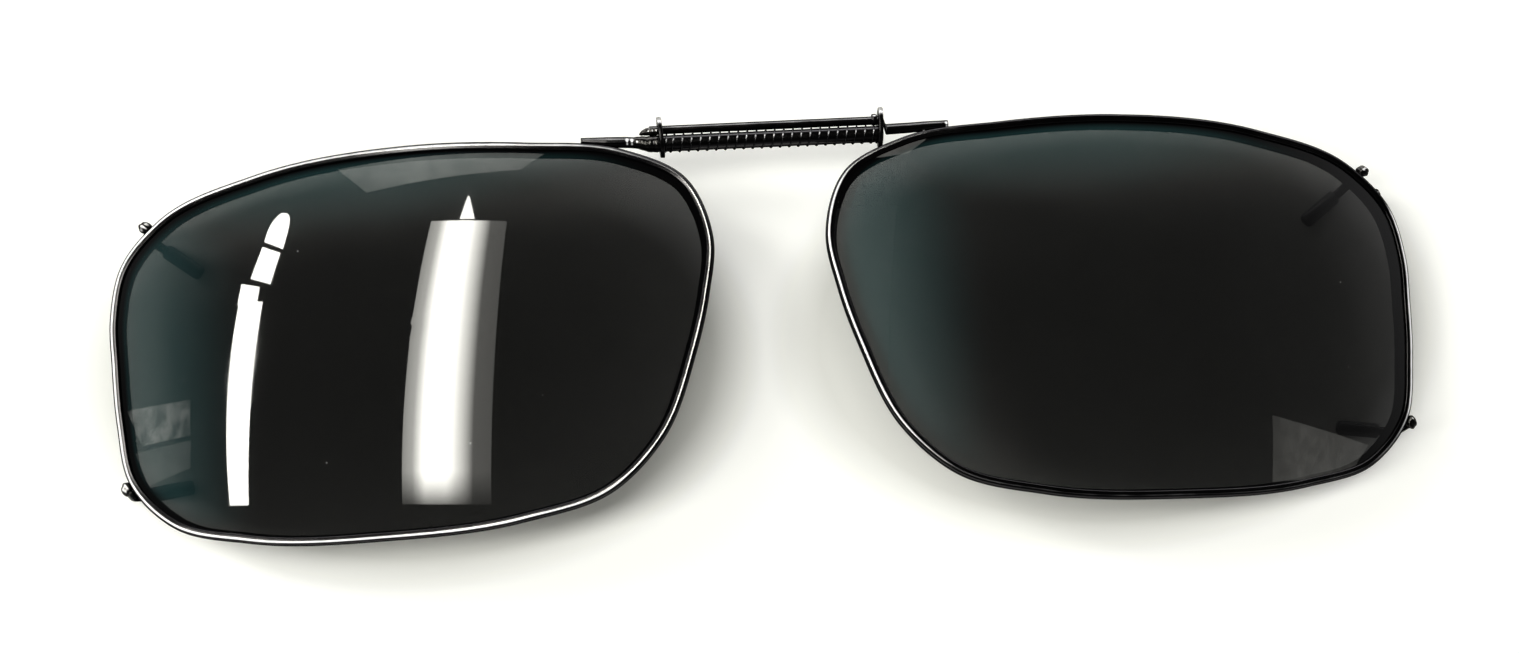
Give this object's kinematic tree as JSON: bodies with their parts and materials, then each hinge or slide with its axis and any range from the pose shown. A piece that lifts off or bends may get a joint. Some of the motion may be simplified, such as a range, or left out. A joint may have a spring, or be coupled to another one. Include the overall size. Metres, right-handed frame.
{
  "type": "clip-on sunglasses",
  "caption": "Spring-bridge clip-on sunglasses: tinted lenses in grooved wire rims, joined by a telescoping sprung bridge, with sleeved hooks that grip spectacles from behind.",
  "frame": {"origin": "middle of the outer box in plan, on the surface that the four hook sleeves rest on", "axes": "+X towards the right lens as seen from the front, +Y up the face towards the bridge, +Z out of the lens fronts, away from the wearer"},
  "size_m": [0.13, 0.041, 0.0164],
  "materials": {
    "gunmetal": "dark plated, polished",
    "braze": "dark plated over a brazed bead",
    "spring_steel": "dark drawn wire",
    "tinted_lens": "polished, smoke tint",
    "vinyl": "soft satin sleeve"
  },
  "bodies": {
    "left_half": {"rim_left": "gunmetal", "lens_left": "tinted_lens", "rod_lower": "gunmetal", "guide_plate_right": "gunmetal", "stop_collar": "gunmetal", "guide_bush": "gunmetal", "bridge_spring": "spring_steel", "bridge_pad_left": "braze", "hook_left_top": "gunmetal", "hook_left_bottom": "gunmetal", "sleeve_left_top": "vinyl", "sleeve_left_bottom": "vinyl", "hook_bead_left_top": "braze", "hook_bead_left_bottom": "braze"},
    "right_half": {"rim_right": "gunmetal", "lens_right": "tinted_lens", "rod_upper": "gunmetal", "guide_plate_left": "gunmetal", "rod_cap": "gunmetal", "bridge_pad_right": "braze", "hook_right_top": "gunmetal", "hook_right_bottom": "gunmetal", "sleeve_right_top": "vinyl", "sleeve_right_bottom": "vinyl", "hook_bead_right_top": "braze", "hook_bead_right_bottom": "braze", "rim_joint_right": "braze"}
  },
  "joints": [
    {"name": "bridge_slide", "type": "slide", "parent": "left_half", "child": "right_half", "axis": [1, 0, 0], "range_m": [0, 0.01], "stiffness_N_per_m": 200, "springref_m": -0.006, "deforming": ["bridge_spring"]}
  ]
}
